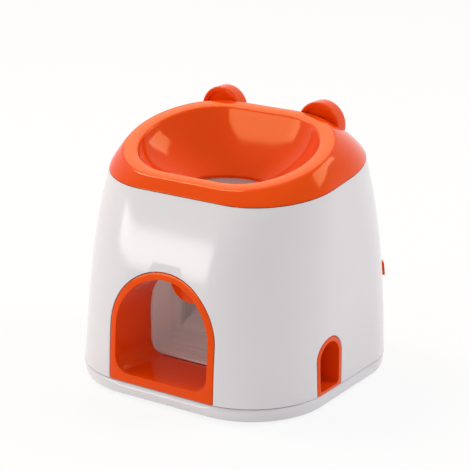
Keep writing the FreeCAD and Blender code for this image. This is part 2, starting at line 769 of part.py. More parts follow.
def sector_gear():
    x0, x1 = gear_x, gear_x + gear_width
    step = 360.0 / sector_teeth_full
    before = 2
    after = math.ceil(flap_swing / step) + 2
    solids, root = toothed_wheel(sector_teeth_full, -before, before + after + 1, x0, x1,
                                 flap_axis_y, flap_axis_z, mesh_angle)
    low = mesh_angle - (before + 0.6) * step
    high = mesh_angle + (after + 0.6) * step
    web = sector_blank(root, low, high, x0 + 0.8, x1 - 0.8, flap_axis_y, flap_axis_z)
    rim = sector_blank(root, low, high, x0, x1, flap_axis_y, flap_axis_z)
    rim = rim.cut(cylinder_x(root - 5.0, x0 - 1, x1 + 1, flap_axis_y, flap_axis_z))
    middle = math.radians((low + high) / 2)
    shape = web.fuse(rim)
    for offset in (-20.0, 20.0):
        q = middle + math.radians(offset)
        shape = shape.cut(cylinder_x(6.0, x0 - 1, x1 + 1, flap_axis_y + root * 0.58 * math.cos(q),
                                     flap_axis_z + root * 0.58 * math.sin(q)))
    shape = shape.fuse(cylinder_x(gear_hub_radius, x0 - 1.5, x1 + 1.5, flap_axis_y, flap_axis_z))
    for tooth in solids:
        shape = shape.fuse(tooth)
    shape = shape.cut(cylinder_x(shaft_radius + shaft_gap, 0, 100, flap_axis_y, flap_axis_z))
    return shape.removeSplitter()


def drum_pinion():
    x0, x1 = gear_x, gear_x + gear_width
    gap_turn = mesh_angle + 180.0 + 180.0 / pinion_teeth
    solids, root = toothed_wheel(pinion_teeth, 0, pinion_teeth, x0, x1,
                                 drum_axis_y, drum_axis_z, gap_turn)
    shape = cylinder_x(root, x0, x1, drum_axis_y, drum_axis_z)
    for tooth in solids:
        shape = shape.fuse(tooth)
    ring = cylinder_x(root - 2.5, x0 - 1, x0 + 1.2, drum_axis_y, drum_axis_z)
    ring = ring.cut(cylinder_x(gear_hub_radius, x0 - 2, x1, drum_axis_y, drum_axis_z))
    shape = shape.cut(ring)
    for i in range(4):
        q = math.radians(90 * i + 45)
        shape = shape.cut(cylinder_x(4.0, x0 - 1, x1 + 1, drum_axis_y + 13.2 * math.cos(q),
                                     drum_axis_z + 13.2 * math.sin(q)))
    shape = shape.fuse(cylinder_x(gear_hub_radius - 1, x1 - 1, plate_left_x - seat_gap,
                                  drum_axis_y, drum_axis_z))
    return shape.cut(cylinder_x(shaft_radius + shaft_gap, 0, 100, drum_axis_y,
                                drum_axis_z)).removeSplitter()


# ---- treat metering ---------------------------------------------------------------------
def metering_drum():
    x0, x1 = drum_x, drum_x + drum_length
    drum = cylinder_x(drum_radius, x0, x1, drum_axis_y, drum_axis_z)
    pocket = sector_blank(drum_radius + 3, 90 - pocket_half_angle, 90 + pocket_half_angle,
                          x0 + pocket_end_wall, x1 - pocket_end_wall, drum_axis_y, drum_axis_z)
    pocket = pocket.cut(cylinder_x(pocket_floor_radius, 0, 100, drum_axis_y, drum_axis_z))
    drum = drum.cut(pocket)
    for q in (195.0, 255.0, 315.0):
        a = math.radians(q)
        core = cylinder_x(3.6, x0 - 1, x1 - 2.0, drum_axis_y + 10.8 * math.cos(a),
                          drum_axis_z + 10.8 * math.sin(a))
        drum = drum.cut(core)
    return drum.cut(cylinder_x(shaft_radius + shaft_gap, 0, 100, drum_axis_y,
                               drum_axis_z)).removeSplitter()


def drum_shaft():
    left = gear_x - clip_gap - 2 * clip_thickness - 1.0
    right = cover_x + plate_thickness + clip_gap + 2 * clip_thickness + 1.0
    return cylinder_x(shaft_radius, left, right, drum_axis_y, drum_axis_z)


def drum_clips():
    left = gear_x - clip_gap - clip_thickness
    right = cover_x + plate_thickness + clip_gap
    return Part.makeCompound([shaft_clip(left, drum_axis_y, drum_axis_z),
                              shaft_clip(right, drum_axis_y, drum_axis_z)])


def end_plate(x0):
    """Round end plate with a leg down to its base post."""
    x1 = x0 + plate_thickness
    y = housing_screws[0][1]
    plate = cylinder_x(housing_radius, x0, x1, drum_axis_y, drum_axis_z)
    leg = box(x0, x1, y - 9, y + 3, boss_top - 6, drum_axis_z)
    foot = boss((x0 + x1) / 2, y)
    for q in cover_screw_angles:
        plate = plate.fuse(cylinder_x(3.2, x0, x1, *cover_screw_place(q)))
    return join(plate, leg, foot).cut(pilot((x0 + x1) / 2, y))


cover_screw_angles = (5.0, 152.0)


def cover_screw_place(angle):
    a = math.radians(angle)
    reach = housing_radius + 1.4
    return drum_axis_y + reach * math.cos(a), drum_axis_z + reach * math.sin(a)


def drum_housing():
    x0, x1 = plate_left_x, cover_x
    tube = cylinder_x(housing_radius, x0, x1, drum_axis_y, drum_axis_z)
    tube = tube.fuse(end_plate(x0))
    collar = box(x0 + 1.0, x1 - 0.2, drum_axis_y - throat_half_y - 2.4,
                 drum_axis_y + throat_half_y + 2.4, drum_axis_z + 8, drum_axis_z + collar_height)
    tube = tube.fuse(collar)
    for q in cover_screw_angles:
        tube = tube.fuse(cylinder_x(3.2, x0, x1, *cover_screw_place(q)))
    bore = drum_radius + drum_gap
    tube = tube.cut(cylinder_x(bore, x0 + plate_thickness, x1 + 1, drum_axis_y, drum_axis_z))
    tube = tube.cut(box(x0 + 3.4, x1 - 2.6, drum_axis_y - throat_half_y,
                        drum_axis_y + throat_half_y, drum_axis_z, drum_axis_z + 40))
    window = box(x0 + 3.4, x1 - 2.6, drum_axis_y - 30, drum_axis_y - 2.5,
                 drum_axis_z - 30, drum_axis_z - 2.0)
    tube = tube.cut(window)
    tube = tube.cut(cylinder_x(shaft_radius + shaft_gap, 0, 100, drum_axis_y, drum_axis_z))
    for q in cover_screw_angles:
        tube = tube.cut(cylinder_x(cover_screw_radius + pilot_gap, x1 - 8, x1 + 1,
                                   *cover_screw_place(q)))
    return tube.removeSplitter()


def housing_cover():
    plate = end_plate(cover_x)
    plate = plate.cut(cylinder_x(shaft_radius + shaft_gap, 0, 100, drum_axis_y, drum_axis_z))
    for q in cover_screw_angles:
        plate = plate.cut(cylinder_x(cover_screw_radius + screw_hole_gap, 0, 100,
                                     *cover_screw_place(q)))
    return plate.removeSplitter()


def cover_screw(angle):
    y, z = cover_screw_place(angle)
    x = cover_x + plate_thickness
    head = cylinder_x(2.0, x, x + 1.5, y, z)
    return head.fuse(cylinder_x(cover_screw_radius, cover_x - 6, x + 0.5, y, z))


# ---- treat path -------------------------------------------------------------------------
def yz_rect(x, y0, y1, z0, z1):
    points = [Vec(x, y0, z0), Vec(x, y1, z0), Vec(x, y1, z1), Vec(x, y0, z1)]
    return Part.makePolygon(points + [points[0]])


def xy_rect(x0, x1, y0, y1, z):
    points = [Vec(x0, y0, z), Vec(x1, y0, z), Vec(x1, y1, z), Vec(x0, y1, z)]
    return Part.makePolygon(points + [points[0]])


def treat_chute():
    """Open trough from under the drum to the side outlet's tunnel."""
    end_x = treat_tunnel_x - seat_gap
    half = treat_inner_radius + treat_wall
    w = chute_wall
    front = treat_y - half
    near = yz_rect(chute_start_x, front, chute_back_y, chute_start_z - w, chute_wall_top)
    far = yz_rect(end_x, front, treat_y + half, chute_end_z - w, chute_wall_top)
    outer = Part.makeLoft([near, far], True, True)
    near = yz_rect(chute_start_x + w, front + w, chute_back_y - w, chute_start_z, 60)
    far = yz_rect(end_x + 0.01, front + w, treat_y + half - w, chute_end_z, 60)
    shape = outer.cut(Part.makeLoft([near, far], True, True))
    for x, y in chute_screws:
        column = boss(x, y, 60).common(outer.fuse(boss(x, y, chute_end_z)))
        stem = boss(x, y, chute_start_z - 5).cut(Part.makeLoft([near, far], True, True))
        shape = shape.fuse(stem).fuse(column.cut(Part.makeLoft([near, far], True, True)))
        shape = shape.cut(cylinder_z(screw_radius + pilot_gap, 0, post_top + 9.0, x, y))
    return shape.removeSplitter()


def treat_outlet():
    side = casing_solid(0)
    skin = side.cut(casing_solid(frame_depth))
    frame = side_arch(treat_arch_radius, seam_height + seam_gap, 0, 80, 130).common(skin)
    tube = side_arch(treat_inner_radius + treat_wall, treat_sill_z - treat_wall, treat_corner,
                     treat_tunnel_x, 130).common(side)
    shape = frame.fuse(tube)
    for x, y in treat_screws:
        near_y = treat_y + math.copysign(treat_inner_radius + 0.6, y - treat_y)
        web = box(x - 1.2, x + 1.2, min(y, near_y), max(y, near_y), treat_sill_z, boss_top)
        shape = shape.fuse(boss(x, y)).fuse(web)
    shape = shape.cut(side_arch(treat_inner_radius, treat_sill_z, treat_corner, 60, 140))
    for x, y in treat_screws:
        shape = shape.cut(pilot(x, y))
    return shape.removeSplitter()


def hopper_block(inset):
    """Hopper's outside, or its inside when drawn in by the wall."""
    throat_z = drum_axis_z + collar_height + seat_gap
    x0, x1 = plate_left_x + 3.4 - hopper_wall, cover_x - 2.6 + hopper_wall
    low = xy_rect(x0 + inset, x1 - inset, drum_axis_y - throat_half_y - hopper_wall + inset,
                  drum_axis_y + throat_half_y + hopper_wall - inset, throat_z - inset)
    rear = base_half_y - 2.0
    high = xy_rect(hopper_x[0] + inset, hopper_x[1] - inset, hopper_front_y + inset,
                   rear - inset if inset == 0 else rear + 10, hopper_floor_z)
    funnel = Part.makeLoft([low, high], True, True)
    bin_box = box(hopper_x[0] + inset, hopper_x[1] - inset, hopper_front_y + inset,
                  rear if inset == 0 else rear + 10, hopper_floor_z, hopper_top_z - inset)
    return funnel.fuse(bin_box)


def treat_hopper():
    outer = hopper_block(0).common(casing_solid(wall + seat_gap))
    flange = box(hopper_screw_x[0] - 6, hopper_screw_x[1] + 6, hopper_flange_y,
                 hopper_flange_y + hopper_wall, hopper_screw_z - 6, hopper_floor_z - 1)
    shape = outer.fuse(flange).cut(hopper_block(hopper_wall))
    for x in hopper_screw_x:
        shape = shape.cut(cylinder_y(screw_radius + screw_hole_gap, 60, 100, x, hopper_screw_z))
    return shape.removeSplitter()


def hopper_screw(x):
    y = hopper_flange_y
    head = cylinder_y(screw_head_radius, y - screw_head_height, y, x, hopper_screw_z)
    return head.fuse(cylinder_y(screw_radius, y - 1, y + hopper_wall + 7.5, x, hopper_screw_z))


# ---- treat door -------------------------------------------------------------------------
def treat_door():
    close = casing_solid(-door_gap, -0.02, 1.02)
    leaf = casing_solid(-door_gap - door_thickness, -0.02, 1.02).cut(close)
    lip = casing_solid(-door_gap - door_thickness - door_lip, -0.02, 1.02).cut(close)
    lip = lip.common(box(50, 120, door_free_y, door_free_y + door_lip_width,
                         door_z[0], door_z[1]))
    shape = leaf.fuse(lip)
    face = rounded_plate(door_start_x, base_half_x + 20, door_z[0], door_z[1], door_corner, "y")
    side = rounded_plate(door_free_y, 130, door_z[0], door_z[1], door_corner, "x")
    shape = shape.common(face).common(side)
    z0 = lug_z[0] + hinge_lug + seat_gap
    z1 = lug_z[1] - hinge_lug - seat_gap
    knuckle = cylinder_z(knuckle_radius, z0, z1, door_hinge_x, door_hinge_y)
    web = box(door_hinge_x, door_start_x + 2.0, door_hinge_y - 2.2, door_hinge_y + 0.4, z0, z1)
    web = web.cut(close)
    shape = shape.fuse(knuckle).fuse(web)
    tongue = box(mouth_x[1] - 7.0, mouth_x[1] - 5.0, 74.0, 100.0, 130.0, 140.0)
    tongue = tongue.common(casing_solid(-door_gap - 1.0, -0.02, 1.02)).cut(casing_solid(wall + 2.0))
    shape = shape.fuse(tongue)
    pin = cylinder_z(pin_radius + shaft_gap, 0, 200, door_hinge_x, door_hinge_y)
    return shape.cut(pin).removeSplitter()


def door_pin():
    pin = cylinder_z(pin_radius, lug_z[0] - 0.4, lug_z[1], door_hinge_x, door_hinge_y)
    return pin.fuse(cylinder_z(pin_radius + 0.8, lug_z[1], lug_z[1] + 1.0,
                               door_hinge_x, door_hinge_y))


# ---- write every sub-part ---------------------------------------------------------------
def screw_group(points, length):
    return Part.makeCompound([screw_up(x, y, length) for x, y in points])


def main():
    os.makedirs("parts", exist_ok=True)
    save("base_tray", base_tray())
    save("rubber_feet", Part.makeCompound([rubber_foot(x, y) for x, y in foot_points()]))
    save("body_shell", body_shell())
    save("top_cap", top_cap())
    save("ball_outlet", ball_outlet())
    save("ball_ramp", ball_ramp())
    save("left_bush", flap_bush(-1))
    save("right_bush", flap_bush(1))
    save("trigger_flap", trigger_flap())
    save("flap_shaft", flap_shaft())
    save("flap_clips", flap_clips())
    save("return_spring", return_spring())
    save("sector_gear", sector_gear())
    save("drum_pinion", drum_pinion())
    save("drum_shaft", drum_shaft())
    save("drum_clips", drum_clips())
    save("metering_drum", metering_drum())
    save("drum_housing", drum_housing())
    save("housing_cover", housing_cover())
    save("cover_screws", Part.makeCompound([cover_screw(q) for q in cover_screw_angles]))
    save("treat_chute", treat_chute())
    save("treat_outlet", treat_outlet())
    save("treat_hopper", treat_hopper())
    save("hopper_screws", Part.makeCompound([hopper_screw(x) for x in hopper_screw_x]))
    save("treat_door", treat_door())
    save("door_pin", door_pin())
    save("casing_screws", screw_group(body_screws, 15.0))
    save("outlet_screws", screw_group(outlet_screws, 12.0))
    save("ramp_screws", screw_group(chamber_screws, 12.0))
    save("housing_screws", screw_group(housing_screws, 12.0))
    save("chute_screws", screw_group(chute_screws, 10.0))
    save("treat_outlet_screws", screw_group(treat_screws, 12.0))
    save("cap_screws", Part.makeCompound([cap_screw(x, y) for x, y in cap_screws]))


main()
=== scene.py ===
import json
import math

import bmesh
import bpy
from mathutils import Matrix, Vector


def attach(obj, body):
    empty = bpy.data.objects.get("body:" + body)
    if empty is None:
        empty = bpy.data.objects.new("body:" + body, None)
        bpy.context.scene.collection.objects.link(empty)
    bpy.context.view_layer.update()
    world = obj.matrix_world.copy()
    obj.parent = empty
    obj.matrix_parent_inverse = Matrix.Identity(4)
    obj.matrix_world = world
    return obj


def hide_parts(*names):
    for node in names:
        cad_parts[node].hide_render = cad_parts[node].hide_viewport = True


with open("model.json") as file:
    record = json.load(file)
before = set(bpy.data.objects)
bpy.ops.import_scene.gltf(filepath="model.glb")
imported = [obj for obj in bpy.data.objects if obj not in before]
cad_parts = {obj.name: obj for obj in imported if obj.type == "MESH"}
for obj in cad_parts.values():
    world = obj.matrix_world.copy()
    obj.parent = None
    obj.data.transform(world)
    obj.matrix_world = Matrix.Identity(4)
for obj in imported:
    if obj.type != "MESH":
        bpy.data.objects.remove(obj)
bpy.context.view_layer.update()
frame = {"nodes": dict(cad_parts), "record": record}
nodes = frame["nodes"]
print("frame loaded:", len(nodes), "nodes")

mm = 0.001
doubles = 0.000002  # metres: corners nearer than this are one
overlap = 0.001  # millimetres that joined solids reach into each other
relief = 0.02  # millimetres that keep two full round corners from meeting
colourA, colourB, colourMixed = 6, 7, 2  # a Mix node's sockets for colours


def linearColour(hexText, alpha=1.0):
    parts = [int(hexText[i:i + 2], 16) / 255 for i in (0, 2, 4)]
    lin = [c / 12.92 if c <= 0.04045 else ((c + 0.055) / 1.055) ** 2.4 for c in parts]
    return (*lin, alpha)


def addNode(tree, kind, settings=None, inputs=None):
    node = tree.nodes.new(kind)
    for name, value in (settings or {}).items():
        setattr(node, name, value)
    for name, value in (inputs or {}).items():
        if isinstance(value, bpy.types.NodeSocket):
            tree.links.new(value, node.inputs[name])
        else:
            node.inputs[name].default_value = value
    return node


def newMaterial(name):
    material = bpy.data.materials.new(name)
    material.use_nodes = True
    tree = material.node_tree
    tree.nodes.clear()
    return material, tree


def finishMaterial(tree, shader):
    out = addNode(tree, "ShaderNodeOutputMaterial")
    tree.links.new(shader.outputs[0], out.inputs["Surface"])


# shared by the moulded finishes: how tone and gloss drift, and how much shade is painted into the
# colour in joints, gaps and inner corners
moulding = {"cloudDetail": 3.0, "rippleDetail": 2.0, "glossier": 0.03, "duller": 0.04,
            "paintedShadeReach": 1.6, "paintedShadeDarkest": 0.2, "paintedShadeFullBelow": 0.12, "paintedShadeNoneAbove": 0.45,
            "paintedShadeSamples": 8}


def mouldedPlastic(name, look):
    # sizes in millimetres: clouds of tone, a fine ripple, and painted shade inside the narrow
    # joints, gaps and inner corners
    material, tree = newMaterial(name)
    place = addNode(tree, "ShaderNodeTexCoord").outputs["Object"]
    cloud = addNode(tree, "ShaderNodeTexNoise", None,
                    {"Vector": place, "Scale": 1 / (look["cloudSize"] * mm),
                     "Detail": moulding["cloudDetail"]})
    tint = addNode(tree, "ShaderNodeMix", {"data_type": "RGBA"},
                   {"Factor": cloud.outputs["Fac"]})
    tint.inputs[colourA].default_value = linearColour(look["colour"])
    tint.inputs[colourB].default_value = linearColour(look["shade"])
    ripple = addNode(tree, "ShaderNodeTexNoise", None,
                     {"Vector": place, "Scale": 1 / (look["rippleSize"] * mm),
                      "Detail": moulding["rippleDetail"]})
    bump = addNode(tree, "ShaderNodeBump", None,
                   {"Height": ripple.outputs["Fac"], "Strength": look["ripple"],
                    "Distance": look["rippleDepth"] * mm})
    rub = addNode(tree, "ShaderNodeMapRange", None,
                  {"Value": cloud.outputs["Fac"], "To Min": look["rough"] - moulding["glossier"],
                   "To Max": look["rough"] + moulding["duller"]})
    # painted shade: ambient occlusion darkens the colour in joints, gaps and inner corners where
    # shade falls
    occlusion = addNode(tree, "ShaderNodeAmbientOcclusion", {"samples": moulding["paintedShadeSamples"]},
                    {"Distance": moulding["paintedShadeReach"] * mm})
    shade = addNode(tree, "ShaderNodeMapRange", None,
                    {"Value": occlusion.outputs["AO"], "From Min": moulding["paintedShadeFullBelow"],
                     "From Max": moulding["paintedShadeNoneAbove"], "To Min": moulding["paintedShadeDarkest"],
                     "To Max": 1.0})
    # the painted shade is multiplied into the plastic's colour
    body = addNode(tree, "ShaderNodeMix", {"data_type": "RGBA", "blend_type": "MULTIPLY"},
                   {"Factor": 1.0})
    tree.links.new(tint.outputs[colourMixed], body.inputs[colourA])
    tree.links.new(shade.outputs[0], body.inputs[colourB])
    shader = addNode(tree, "ShaderNodeBsdfPrincipled", None,
                     {"Base Color": body.outputs[colourMixed], "Roughness": rub.outputs[0],
                      "IOR": look["ior"], "Specular IOR Level": look["shine"],
                      "Specular Tint": linearColour(look["gleam"]),
                      "Normal": bump.outputs[0]})
    finishMaterial(tree, shader)
    return material


# polished mould, cool white: a lamp shows in it as a clear patch with soft edges
whiteLook = {"colour": "E6E3E6", "shade": "E1DEE2", "cloudSize": 50.0, "rippleSize": 1.6,
             "ripple": 0.03, "rippleDepth": 0.2, "rough": 0.16, "ior": 1.53, "shine": 0.5,
             "gleam": "FFFFFF"}
# polished mould, strong orange: warm highlights on the rims and deep colour in the hollows
orangeLook = {"colour": "F24A03", "shade": "EC4503", "cloudSize": 40.0, "rippleSize": 1.6,
              "ripple": 0.03, "rippleDepth": 0.2, "rough": 0.1, "ior": 1.4, "shine": 0.62,
              "gleam": "FFC878"}
# plain mould, never polished: the inner pieces look even and soft, with no clear reflection
innerLook = {"colour": "E4DDDC", "shade": "DDD6D6", "cloudSize": 30.0, "rippleSize": 0.8,
             "ripple": 0.12, "rippleDepth": 0.2, "rough": 0.5, "ior": 1.53, "shine": 0.4,
             "gleam": "FFFFFF"}
# undyed acetal: creamy and a little waxy, on the pieces that run against each other
acetalLook = {"colour": "E6E2D4", "shade": "DFDBCC", "cloudSize": 10.0, "rippleSize": 0.6,
              "ripple": 0.1, "rippleDepth": 0.1, "rough": 0.42, "ior": 1.48, "shine": 0.5,
              "gleam": "FFFFFF"}
# moulded elastomer: near black and dull, its grain takes the gloss away
rubberLook = {"colour": "232323", "shade": "2B2B2B", "cloudSize": 6.0, "rippleSize": 0.5,
              "ripple": 0.4, "rippleDepth": 0.2, "rough": 0.75, "ior": 1.52, "shine": 0.3,
              "gleam": "FFFFFF"}
# drawn wire and bar: grey with long dull streaks from the die
steelLook = {"colour": "9A9A9C", "rough": 0.32, "scratch": 0.6}
# zinc-plated screws: brighter and smoother, with finer marks
zincLook = {"colour": "B4B4B6", "rough": 0.25, "scratch": 0.8}
drawing = {"streakLength": 1000.0 / 60.0, "glossier": 0.06, "duller": 0.08}


def drawnMetal(name, look):
    # streaks along the bar: scratch is their width in millimetres
    material, tree = newMaterial(name)
    place = addNode(tree, "ShaderNodeTexCoord").outputs["Object"]
    along = 1 / (drawing["streakLength"] * mm)
    stretch = addNode(tree, "ShaderNodeMapping", None,
                      {"Vector": place, "Scale": (1 / (look["scratch"] * mm), along, along)})
    grain = addNode(tree, "ShaderNodeTexNoise", None, {"Vector": stretch.outputs[0], "Scale": 1.0})
    rub = addNode(tree, "ShaderNodeMapRange", None,
                  {"Value": grain.outputs["Fac"], "To Min": look["rough"] - drawing["glossier"],
                   "To Max": look["rough"] + drawing["duller"]})
    shader = addNode(tree, "ShaderNodeBsdfPrincipled", None,
                     {"Base Color": linearColour(look["colour"]), "Metallic": 1.0,
                      "Roughness": rub.outputs[0]})
    finishMaterial(tree, shader)
    return material


materials = {
    "white_shell": mouldedPlastic("glossy white ABS", whiteLook),
    "orange_shell": mouldedPlastic("glossy orange ABS", orangeLook),
    "inner_white": mouldedPlastic("satin white ABS", innerLook),
    "acetal": mouldedPlastic("natural acetal", acetalLook),
    "rubber_pad": mouldedPlastic("black elastomer", rubberLook),
    "steel_rod": drawnMetal("drawn steel", steelLook),
    "screw_zinc": drawnMetal("bright zinc", zincLook),
}
print("materials:", len(materials))

slotOf = {part["node"]: part["material_slot"] for part in frame["record"]["subparts"]}
for name, obj in nodes.items():
    obj.data.materials.clear()
    obj.data.materials.append(materials[slotOf[name]])


# sizes in millimetres, with y measured from the middle of the base; each outline is a rounded
# oblong with its front and back corner radii, and slope is its rise per millimetre to the rear;
# cuts are the corners added along its straight sides
casing = {"foot": {"halfX": 101.0, "halfY": 95.0, "front": 62.4, "back": 53.8, "centre": 0.0,
                   "height": 12.65, "slope": 0.0},
          "head": {"halfX": 93.0, "halfY": 79.4, "front": 57.0, "back": 78.0, "centre": 12.8,
                   "height": 161.9, "slope": 0.118},
          "sideLean": 3.2, "frontLean": 2.6, "backSwell": 3.4, "cornerSwell": 11.0,
          "wall": 2.5, "gap": 0.45, "seam": 0.5, "levels": 16, "cuts": (12, 12),
          "edge": 0.35, "edgeSteps": 2, "smooth": 35,
          "frontCut": {"at": -60.0, "depth": 60.0}, "sideCut": {"at": 80.0, "depth": 40.0},
          "backCut": {"at": 120.0, "depth": 80.0}, "cutFoot": 0.5}
funnel = {"rim": {"halfX": 83.4, "halfY": 54.6, "front": 56.5, "back": 56.5, "centre": -6.9,
                  "height": 178.5, "slope": 0.305},
          "mouth": {"halfX": 71.0, "halfY": 46.0, "front": 47.5, "back": 47.5, "centre": -6.9,
                    "height": 178.5, "slope": 0.305},
          "waist": {"halfX": 57.9, "halfY": 42.4, "front": 41.4, "back": 41.4, "centre": -10.3,
                    "height": 160.1, "slope": 0.137},
          "hole": {"halfX": 36.5, "halfY": 36.5, "front": 36.0, "back": 36.0, "centre": -13.0,
                   "height": 145.0, "slope": 0.0},
          "bulge": {"halfX": 1.6, "halfY": 0.9, "height": 0.4}, "waistAt": 0.45,
          "rimEdge": 1.3, "mouthEdge": 1.1, "holeEdge": 0.8, "edgeSteps": 5, "crown": 0.3,
          "throat": 2.0, "wall": 2.4, "levels": 10, "cuts": (12, 0), "smooth": 40}
originShift = 3.9  # the origin lies this far behind the middle of the base


def between(low, high, share, bulge=None):
    # outline part of the way up; a bulge is at its full amount half-way
    shape = {key: low[key] + (high[key] - low[key]) * share for key in low}
    for key, amount in (bulge or {}).items():
        shape[key] += 4 * amount * share * (1 - share)
    return shape


def through(low, middle, high, at, share):
    # outline on the smooth curve through three, the middle one lying at its share
    a = (share - at) * (share - 1) / at
    b = share * (share - 1) / (at * (at - 1))
    c = share * (share - at) / (1 - at)
    return {key: low[key] * a + middle[key] * b + high[key] * c for key in low}


def inset(shape, amount):
    return {**shape, "halfX": shape["halfX"] - amount, "halfY": shape["halfY"] - amount,
            "front": shape["front"] - amount, "back": shape["back"] - amount}


def lifted(shape, amount):
    return {**shape, "height": shape["height"] + amount}


def startPiece(name):
    bpy.ops.object.select_all(action="DESELECT")
    piece = bpy.data.objects.new(name, bpy.data.meshes.new(name))
    bpy.context.scene.collection.objects.link(piece)
    bpy.context.view_layer.objects.active = piece
    piece.select_set(True)
    bpy.ops.object.mode_set(mode="EDIT")
    bpy.ops.mesh.select_mode(type="VERT")
    return piece


def pick(piece, kind, test):
    bm = bmesh.from_edit_mesh(piece.data)
    for face in bm.faces:
        face.select = False
    for edge in bm.edges:
        edge.select = False
    for vert in bm.verts:
        vert.select = False
    chosen = [item for item in getattr(bm, kind) if not item.hide and test(item)]
    for item in chosen:
        item.select_set(True)
    bmesh.update_edit_mesh(piece.data)


sameCorner = 1e-7  # metres
longSide = {"along": 0.99999, "least": 0.4}  # how straight, and how many millimetres
cornerSteps = (24, 24)  # front and back


def drawOutline(piece, shape, cutsX, cutsY, steps=cornerSteps):
    # a plane with rounded corners, tilted and lifted to its place; only its edges stay
    bpy.ops.mesh.select_all(action="SELECT")
    bpy.ops.mesh.hide()
    stretch = math.hypot(1.0, shape["slope"])
    halfX, halfV = shape["halfX"] * mm, shape["halfY"] * stretch * mm
    bpy.ops.mesh.primitive_plane_add(size=2.0)
    bpy.ops.transform.resize(value=(halfX, halfV, 1.0))
    for side, radius, count in ((-1, shape["front"], steps[0]), (1, shape["back"], steps[1])):
        pick(piece, "verts", lambda v: (abs(v.co.y - side * halfV) < sameCorner
                                        and abs(abs(v.co.x) - halfX) < sameCorner))
        bpy.ops.mesh.bevel(offset=radius * mm, segments=count, affect="VERTICES",
                           clamp_overlap=False)
    bpy.ops.mesh.select_all(action="SELECT")
    bpy.ops.mesh.delete(type="ONLY_FACE")
    for axis, cuts in ((0, cutsX), (1, cutsY)):
        if cuts:
            pick(piece, "edges", lambda e: longEdge(e, axis))
            bpy.ops.mesh.subdivide(number_cuts=cuts)
    bpy.ops.mesh.select_all(action="SELECT")
    bpy.ops.transform.rotate(value=-math.atan(shape["slope"]), orient_axis="X",
                             center_override=(0.0, 0.0, 0.0))
    bpy.ops.transform.translate(value=(0.0, (shape["centre"] - originShift) * mm,
                                       shape["height"] * mm))


def longEdge(edge, axis):
    step = edge.verts[1].co - edge.verts[0].co
    straight = abs(step[axis]) > longSide["along"] * step.length
    return straight and step.length > longSide["least"] * mm


def joinRing(piece, place):
    # numbers the ring just drawn and bridges it to the one before
    bm = bmesh.from_edit_mesh(piece.data)
    ring = bm.verts.layers.int.get("ring") or bm.verts.layers.int.new("ring")
    for vert in bm.verts:
        if not vert.hide:
            vert[ring] = place + 1
    bmesh.update_edit_mesh(piece.data)
    bpy.ops.mesh.reveal(select=False)
    if place:
        pickRings(piece, (place, place + 1))
        bpy.ops.mesh.bridge_edge_loops()


def pickRings(piece, places, test=None):
    bm = bmesh.from_edit_mesh(piece.data)
    ring = bm.verts.layers.int.get("ring")
    pick(piece, "edges", lambda e: (all(v[ring] in places for v in e.verts)
                                    and (test is None or test(e))))


def loft(piece, shapes, cuts):
    for place, shape in enumerate(shapes):
        drawOutline(piece, shape, *cuts)
        joinRing(piece, place)


def finishLoft(piece, closed):
    if closed:
        for end in (min, max):
            bm = bmesh.from_edit_mesh(piece.data)
            ring = bm.verts.layers.int.get("ring")
            pickRings(piece, (end(v[ring] for v in bm.verts),))
            bpy.ops.mesh.edge_face_add()
    bpy.ops.mesh.select_all(action="SELECT")
    bpy.ops.mesh.remove_doubles(threshold=doubles)
    bpy.ops.mesh.normals_make_consistent(inside=False)
    bpy.ops.object.mode_set(mode="OBJECT")


def loftSolid(name, shapes, cuts=casing["cuts"]):
    piece = startPiece(name)
    loft(piece, shapes, cuts)
    finishLoft(piece, True)
    return piece


def prism(name, size, low, high, place, turn="front"):
    # upright plate: size is its width, height and depth; low and high round its corners
    piece = startPiece(name)
    plate = {"halfX": size[0] / 2, "halfY": size[1] / 2, "front": low, "back": high,
             "centre": originShift, "height": 0.0, "slope": 0.0}
    drawOutline(piece, plate, 0, 0)
    bpy.ops.mesh.select_all(action="SELECT")
    bpy.ops.mesh.edge_face_add()
    bpy.ops.mesh.extrude_region_move(TRANSFORM_OT_translate={"value": (0.0, 0.0, size[2] * mm)})
    bpy.ops.mesh.select_all(action="SELECT")
    bpy.ops.transform.rotate(value=-quarter, orient_axis="X", center_override=(0.0, 0.0, 0.0))
    if turn == "side":
        bpy.ops.transform.rotate(value=-quarter, orient_axis="Z",
                                 center_override=(0.0, 0.0, 0.0))
    bpy.ops.transform.translate(value=(place[0] * mm, (place[1] - originShift) * mm,
                                       place[2] * mm))
    bpy.ops.mesh.remove_doubles(threshold=doubles)
    bpy.ops.mesh.normals_make_consistent(inside=False)
    bpy.ops.object.mode_set(mode="OBJECT")
    return piece


quarter = math.pi / 2
turnTo = {"Z": (0.0, 0.0, 0.0), "Y": (quarter, 0.0, 0.0), "X": (0.0, quarter, 0.0)}


def rod(name, radius, length, place, along="Z", sides=48):
    bpy.ops.object.select_all(action="DESELECT")
    bpy.ops.mesh.primitive_cylinder_add(vertices=sides, radius=radius * mm, depth=length * mm,
                                        rotation=turnTo[along],
                                        location=(place[0] * mm, (place[1] - originShift) * mm,
                                                  place[2] * mm))
    piece = bpy.context.object
    piece.name = name
    bpy.ops.object.transform_apply(location=True, rotation=True, scale=True)
    return piece


def applyModifier(piece, kind, settings):
    modifier = piece.modifiers.new(kind.title(), kind)
    for name, value in settings.items():
        setattr(modifier, name, value)
    bpy.ops.object.select_all(action="DESELECT")
    bpy.context.view_layer.objects.active = piece
    piece.select_set(True)
    bpy.ops.object.modifier_apply(modifier=modifier.name)


def combine(piece, operation, *others):
    for other in others:
        applyModifier(piece, "BOOLEAN", {"operation": operation, "object": other,
                                         "solver": "EXACT"})
        bpy.data.objects.remove(other)


def dress(piece, body, slotName, angle, *replaced):
    # shading, material, and the body, slot and nodes that the piece stands for
    bpy.ops.object.select_all(action="DESELECT")
    bpy.context.view_layer.objects.active = piece
    piece.select_set(True)
    bpy.ops.object.shade_smooth_by_angle(angle=math.radians(angle))
    piece.data.materials.clear()
    piece.data.materials.append(materials[slotName])
    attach(piece, body)
    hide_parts(*replaced)


